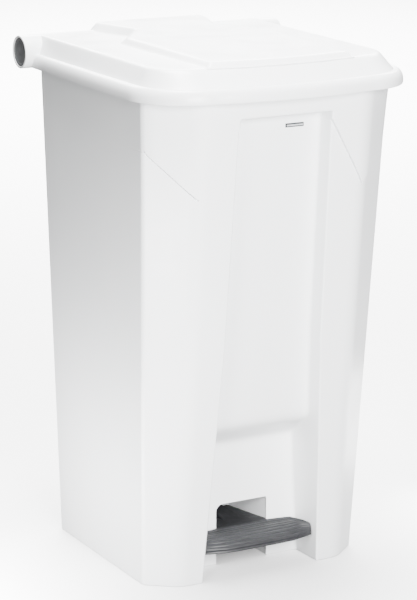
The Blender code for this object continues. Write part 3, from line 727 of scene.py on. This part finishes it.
def panel_ring(outline, inset, lift):
    """The panel's outline moved in by inset, at a share of the height from the lid's top to the panel's."""
    corners = []
    for (x, y), run in zip(outline, PANEL_RUNS):
        moved_y = y + inset * (-1 if y > 0 else 1) * (y < 200)
        corners.append((x - inset * (x > 0), moved_y, run, run))
    corners[1] = (corners[1][0] + inset * 0.5, *corners[1][1:])
    half = rounded(corners, PANEL_STEPS, PANEL_SPLITS)
    ring = []
    for p in half + [Vector((-q.x, q.y)) for q in reversed(half[1:])]:
        t = (p.y - LID_FRONT) / (AXIS_Y - LID_FRONT)
        base = TOP_FRONT + (TOP_BACK - TOP_FRONT) * t
        along = (p.y - RAISED_START) / (AXIS_Y - RAISED_START)
        top = RAISED_FRONT + (RAISED_BACK - RAISED_FRONT) * along
        ring.append((p.x, p.y, base + (top - base) * lift))
    return ring


def raised_panel():
    """The raised panel: wide in front, waisted, then wider over the hinge, with soft edges."""
    outline = [(0, -203), (61, -200), (122, -191), (128, 73), (76, 145), (101, 212), (101, AXIS_Y + 4)]
    # (how far in from the foot of the step, share of the step's height)
    levels = [(-2.4, -0.2), (-2.2, -0.06), (-0.6, 0.05), (1.0, 0.18), (2.4, 0.34), (5.8, 0.74)]
    levels += [(7.4, 0.88), (9.2, 0.955), (11.4, 0.99), (14.0, 1.0)]
    return lofted([panel_ring(outline, inset, lift) for inset, lift in levels])


def raised_hollow():
    """The space under the raised panel."""
    outline = [(0, -198), (58, -195), (117, -186), (123, 69), (71, 143), (96, 208), (96, AXIS_Y + 4)]
    low = [(x, y, 780.0) for x, y, _ in panel_ring(outline, 0.0, 0.0)]
    levels = [(0.0, -0.4), (2.0, -0.1), (8.0, 0.55), (14.0, 0.62)]
    return lofted([low] + [panel_ring(outline, inset, lift) for inset, lift in levels])


def hood(half_top, half_low, inset, low, start):
    """The cover over the middle of the hinge, rounded at the back, from a height and a y on."""
    radius = HOOD_ROUND - inset
    top = RAISED_BACK - inset
    back = AXIS_Y + BARREL_R - inset
    profile = [(start, low), (start, top - 0.6), (back - radius, top)]
    profile += arc((back - radius, top - radius), radius, 90, 0, 14)[1:]
    profile.append((back, low))
    lean_from, lean_over = HOOD_SLOPE
    halves = [half_low + (half_top - half_low) * max(0.0, (z - lean_from) / lean_over) for _, z in profile]
    return lofted([[(side * h, y, z) for h, (y, z) in zip(halves, profile)] for side in (-1, 1)])


def barrel():
    """The hinge barrel from end to end, with rounded lips."""
    end = BARREL_HALF
    lip = [(end - 1.2, BARREL_R), (end - 0.35, BARREL_R - 0.35), (end, BARREL_R - 1.2)]
    return turned([(-x, r) for x, r in reversed(lip)] + lip)


def plug_bore(side):
    """The bore for an end plug, flared a little at its mouth."""
    end = BARREL_HALF
    profile = [(92.0, BORE_R), (end - 0.9, BORE_R), (end - 0.3, BORE_R + 0.2), (end + 0.1, BORE_R + 0.9)]
    profile.append((end + 4.0, BORE_R + 4.8))
    return turned([(side * x, r) for x, r in profile])


def make_lid():
    """The lid: panel raised, hollowed, then the barrel with its hood, its mouth and its end bores."""
    lid = piece("moulded_lid", lid_solid(), "lid", "white_plastic", "lid")
    apply_boolean(lid, tool("raised_tool", raised_panel()), "UNION")
    apply_boolean(lid, tool("hollow_tool", lid_hollow()), "DIFFERENCE")
    apply_boolean(lid, tool("raised_hollow_tool", raised_hollow()), "DIFFERENCE")
    apply_boolean(lid, tool("barrel_tool", barrel()), "UNION")
    apply_boolean(lid, tool("hood_tool", hood(86.0, 100.0, 0.0, MOUTH_TOP, 214.0)), "UNION")
    apply_boolean(lid, tool("hood_hollow", hood(76.0, 84.0, SHEET, 740.0, 194.0)), "DIFFERENCE")
    mouth = box_bm((-84.0, 84.0), (150.0, 260.0), (740.0, MOUTH_TOP))
    apply_boolean(lid, tool("mouth_tool", mouth), "DIFFERENCE")
    for side in (-1, 1):
        apply_boolean(lid, tool("bore_tool", plug_bore(side)), "DIFFERENCE")
    shade(lid, 32.0)


# ---------------------------------------------------------------- pedal

TREAD_HALF = 96.5
TREAD_FRONT = -141.0
TREAD_REAR = -80.0
TREAD_TOP = 62.0
TREAD_LOW = 41.0
TREAD_REAR_CORNER = 80.0           # where the slanting ends start at the back
TREAD_FRONT_CORNER = 58.0          # and at the front
ARM_HALF = 43.5
ARM_TOP = 45.0                     # height of the arm's top at its far end
ARM_THICK = 4.0
SPINE_HALF = 14.0
PIVOT_Y = 50.0
RIB_PITCH = 7.2
RIB_HIGH = 1.2


def tread_profile():
    """Top of the tread from back to front, as (y, z, height of the rib there)."""
    level = TREAD_TOP - RIB_HIGH
    nose = TREAD_FRONT + 1.5
    corners = [
        (TREAD_REAR, level, 0, 0),
        (-112.0, level, 8.0, 8.0),
        (-128.0, 56.0, 6.0, 6.0),
        (nose, 48.5, 4.0, 4.0),
        (nose, TREAD_LOW + 1.0, 0, 0),
    ]
    path = [Vector(p) for p in rounded(corners, (0, 6, 6, 6, 0), (20, 10, 8, 4))]
    length = 0.0
    lengths = [0.0]
    for a, b in zip(path, path[1:]):
        length += (b - a).length
        lengths.append(length)
    points = []
    count = 150
    for k in range(count + 1):
        s = length * k / count
        i = max(n for n, at in enumerate(lengths[:-1]) if at <= s)
        t = (s - lengths[i]) / max(1e-6, lengths[i + 1] - lengths[i])
        here = path[i].lerp(path[i + 1], t)
        along = (path[i + 1] - path[i]).normalized()
        wave = 0.5 - 0.5 * math.cos(2 * math.pi * s / RIB_PITCH)
        rib = RIB_HIGH * min(1.0, wave * 1.6) ** 0.8
        out = Vector((-along.y, along.x))
        points.append((here, out if out.y > 0 or out.x < 0 else -out, rib))
    return points


def tread_limits(x):
    """Front and back of the tread at a place across its width."""
    x = abs(x)
    ahead = TREAD_FRONT + 3.5 * (x / TREAD_HALF) ** 2 + 8.5 * blend_line(x, TREAD_FRONT_CORNER, TREAD_HALF)
    behind = TREAD_REAR - 6.5 * blend_line(x, ARM_HALF + 2.0, TREAD_REAR_CORNER)
    behind -= 35.0 * blend_line(x, TREAD_REAR_CORNER, TREAD_HALF)
    return ahead, behind


def tread_rings():
    """Sections of the tread from the right end to the left, each lowered a little near the ends."""
    profile = tread_profile()
    span = TREAD_FRONT - TREAD_REAR
    ends = [(1.0, 1.6), (0.997, 0.9), (0.99, 0.4), (0.975, 0.1)]
    count = 18
    stations = [(share * TREAD_HALF, drop) for share, drop in ends]
    stations += [(TREAD_HALF * k / count, 0.0) for k in range(count - 1, -1, -1)]
    stations += [(-x, drop) for x, drop in reversed(stations[:-1])]
    rings = []
    for x, drop in stations:
        ahead, behind = tread_limits(x)
        fade = blend_line(TREAD_HALF - abs(x), 2.0, 6.0)
        ring = []
        for here, out, rib in profile:
            p = here + out * rib * fade
            y = behind + (p.x - TREAD_REAR) * (ahead - behind) / span
            z = p.y - drop * (p.y - TREAD_LOW) / (TREAD_TOP - TREAD_LOW)
            ring.append((x, y, max(TREAD_LOW + 0.5, z)))
        ring.append((x, ahead + 3.5, TREAD_LOW))
        ring.append((x, behind - 1.0, TREAD_TOP - 8.0))
        rings.append(ring)
    return rings


def make_pedal():
    """The tread, and the arm behind it with a cheek at each side and a spine over the lever."""
    tread = piece("foot_pedal", lofted(tread_rings()), "pedal", "dark_grey_plastic", "pedal")
    shade(tread, 42.0, weighted=False)

    end = PIVOT_Y + 12.0
    line = [(TREAD_REAR - 8.0, TREAD_TOP - 1.5), (TREAD_REAR + 4.0, TREAD_TOP), (end, ARM_TOP)]
    rings = []
    for y, z in line:
        low = z - ARM_THICK
        rings.append([(-ARM_HALF, y, z), (ARM_HALF, y, z), (ARM_HALF, y, low), (-ARM_HALF, y, low)])
    arm = piece("foot_pedal_arm", lofted(rings), "pedal", "dark_grey_plastic")

    spine = [(-46.0, 56.0), (-46.0, 57.8), (-24.0, TREAD_TOP), (end - 1.0, TREAD_TOP), (end - 1.0, 44.0)]
    apply_boolean(arm, tool("spine_tool", prism(spine, (-SPINE_HALF, SPINE_HALF))), "UNION")
    cheek = [(TREAD_REAR - 6.0, 57.0), (TREAD_REAR - 6.0, 44.0), (PIVOT_Y - 8.0, 38.0), (end, 38.0)]
    cheek.append((end, ARM_TOP - 1.0))
    for side in (-1, 1):
        reach = sorted((side * (ARM_HALF - 4.0), side * ARM_HALF))
        apply_boolean(arm, tool("cheek_tool", prism(cheek, reach)), "UNION")
    shade(arm, 42.0, weighted=False)


# ---------------------------------------------------------------- plugs, badge and CAD copies

def make_plugs():
    """Pressed-in end plugs: a shallow dish with a rounded rim and a small raised centre."""
    face = BARREL_HALF - 1.0
    outer = BORE_R - 0.3
    # (depth behind the face, radius), from the stem round the rim to the centre
    levels = [(24.0, 9.0), (4.5, 9.0), (4.0, outer), (0.9, outer), (0.25, outer - 0.25)]
    levels += [(0.0, outer - 0.9), (0.0, outer - 3.2), (0.5, outer - 3.9), (0.9, outer - 5.0)]
    levels += [(0.9, 5.2), (0.6, 4.6), (0.6, 1.0)]
    for side, word in ((-1, "left"), (1, "right")):
        form = turned([(side * (face - depth), r) for depth, r in levels])
        plug = piece("barrel_plug_" + word, form, "lid", "dark_grey_plastic", "end_plug_" + word)
        # Painted light: the plugs take a lighter copy of the dark grey plastic, which makes up for the shade they
        # sit in.
        plug.data.materials[0] = LOOKS["plug_plastic_painted_light"]
        shade(plug)


BODY_OF = {node: body for body, nodes in frame["record"]["behaviour"]["bodies"].items() for node in nodes}
SLOT_OF = {entry["node"]: entry["material_slot"] for entry in frame["record"]["subparts"]}


def softened_copy(node, name, width):
    """A CAD piece with its edges rounded."""
    bm = bmesh.new()
    bm.from_mesh(frame["nodes"][node].data)
    bmesh.ops.remove_doubles(bm, verts=bm.verts, dist=1e-6)
    bmesh.ops.dissolve_limit(bm, angle_limit=math.radians(1.0), verts=bm.verts, edges=bm.edges)
    bmesh.ops.scale(bm, vec=(1 / MM, 1 / MM, 1 / MM), verts=bm.verts)
    soften(piece(name, bm, BODY_OF[node], SLOT_OF[node], node), width)


def dress_cad():
    """Every CAD piece that stays takes the finish of its slot."""
    for node, obj in frame["nodes"].items():
        obj.data.materials.clear()
        obj.data.materials.append(LOOKS[SLOT_OF[node]])
        obj.data.shade_smooth()
        obj.data.set_sharp_from_angle(angle=math.radians(30.0))


def make_badge():
    """A blank badge: a dark plate with a paler strip between two dark lines."""
    low, high = (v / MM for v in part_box("badge"))
    middle = (low.z + high.z) / 2 - 1.4
    plate = box_bm((low.x, high.x), (low.y + 0.4, high.y), (middle - 3.0, middle + 3.0))
    soften(piece("blank_badge", plate, "frame", "dark_grey_plastic", "badge"), 0.4)
    strip = box_bm((low.x + 2.0, high.x - 1.5), (low.y, low.y + 0.6), (middle - 1.3, middle + 0.9))
    soften(piece("badge_strip", strip, "frame", "grey_plastic"), 0.2)


def make_copies():
    for word in ("left", "right"):
        softened_copy("hinge_bracket_" + word, "axle_bracket_" + word, 0.6)
    for word in ("lower", "upper"):
        softened_copy("rod_guide_" + word, "guide_block_" + word, 0.5)
    softened_copy("pedal_lever", "lift_lever", 0.5)
    softened_copy("rod_foot", "rod_shoe", 0.5)


# ---------------------------------------------------------------- stage, light, camera

CAMERA_AT = (-1.7281, -3.1248, 1.3098)
CAMERA_TARGET = (-0.0210, -0.0085, 0.4078)
CAMERA_LENS = 142.243

# Name, place, target, size, power in watts.
LIGHTS = (
    ("key", (-0.45, -2.5, 1.1), (0.0, 0.0, 0.4), (1.2, 1.2), 300.0),
    ("top", (-0.1, 0.2, 2.7), (0.0, -0.1, 0.4), (1.0, 1.0), 270.0),
    ("fill_left", (-0.56, -0.5, 0.35), (0.0, 0.0, 0.25), (0.2, 0.15), 5.0),
    ("fill_front", (0.1, -0.8, 0.5), (0.0, 0.0, 0.2), (0.3, 0.2), 1.2),
    ("low_left", (-0.48, 0.0, 0.10), (0.0, 0.0, 0.12), (0.4, 0.18), 5.6),
    ("low_right", (0.48, -0.1, 0.10), (0.0, -0.1, 0.12), (0.3, 0.18), 2.4),
    ("backdrop", (2.2, 4.6, 3.2), (2.3, 4.8, 0.0), (5.0, 5.0), 2500.0),
)


def make_floor():
    """A plain pale floor. It does not light or mirror in the object: the low lights stand in for that."""
    bm = bmesh.new()
    bmesh.ops.create_grid(bm, x_segments=1, y_segments=1, size=30000.0)
    floor = tool("floor", bm)
    made, tree, shader = new_material("pale_floor", (0.80, 0.80, 0.80), 0.7)
    colour_from(tree, shader, noise(tree, 1.5), (0.93, 0.93, 0.93), (0.95, 0.95, 0.95))
    floor.data.materials.append(made)
    floor.visible_diffuse = False
    floor.visible_glossy = False


def aim(obj, place, target):
    obj.location = place
    obj.rotation_euler = (Vector(target) - Vector(place)).to_track_quat("-Z", "Y").to_euler()


def area_light(name, place, target, size, power):
    light = bpy.data.lights.new(name, "AREA")
    light.shape = "RECTANGLE"
    light.size = size[0]
    light.size_y = size[1]
    light.energy = power
    obj = bpy.data.objects.new(name, light)
    bpy.context.scene.collection.objects.link(obj)
    aim(obj, place, target)
    obj.visible_camera = False


def make_lights():
    world = bpy.data.worlds.new("studio")
    bpy.context.scene.world = world
    world.use_nodes = True
    background = world.node_tree.nodes["Background"]
    background.inputs["Color"].default_value = (0.93, 0.95, 1.0, 1.0)
    background.inputs["Strength"].default_value = 0.01
    for values in LIGHTS:
        area_light(*values)


def make_camera():
    camera = bpy.data.cameras.new("camera")
    camera.sensor_fit = "VERTICAL"
    camera.sensor_height = 36.0
    camera.lens = CAMERA_LENS
    camera.clip_end = 100.0
    obj = bpy.data.objects.new("camera", camera)
    bpy.context.scene.collection.objects.link(obj)
    aim(obj, CAMERA_AT, CAMERA_TARGET)
    bpy.context.scene.camera = obj


make_camera()
dress_cad()
make_body()
make_lid()
make_pedal()
make_plugs()
softened_copy("rear_cover", "rear_channel_cover", 1.2)
make_badge()
make_copies()
make_floor()
make_lights()
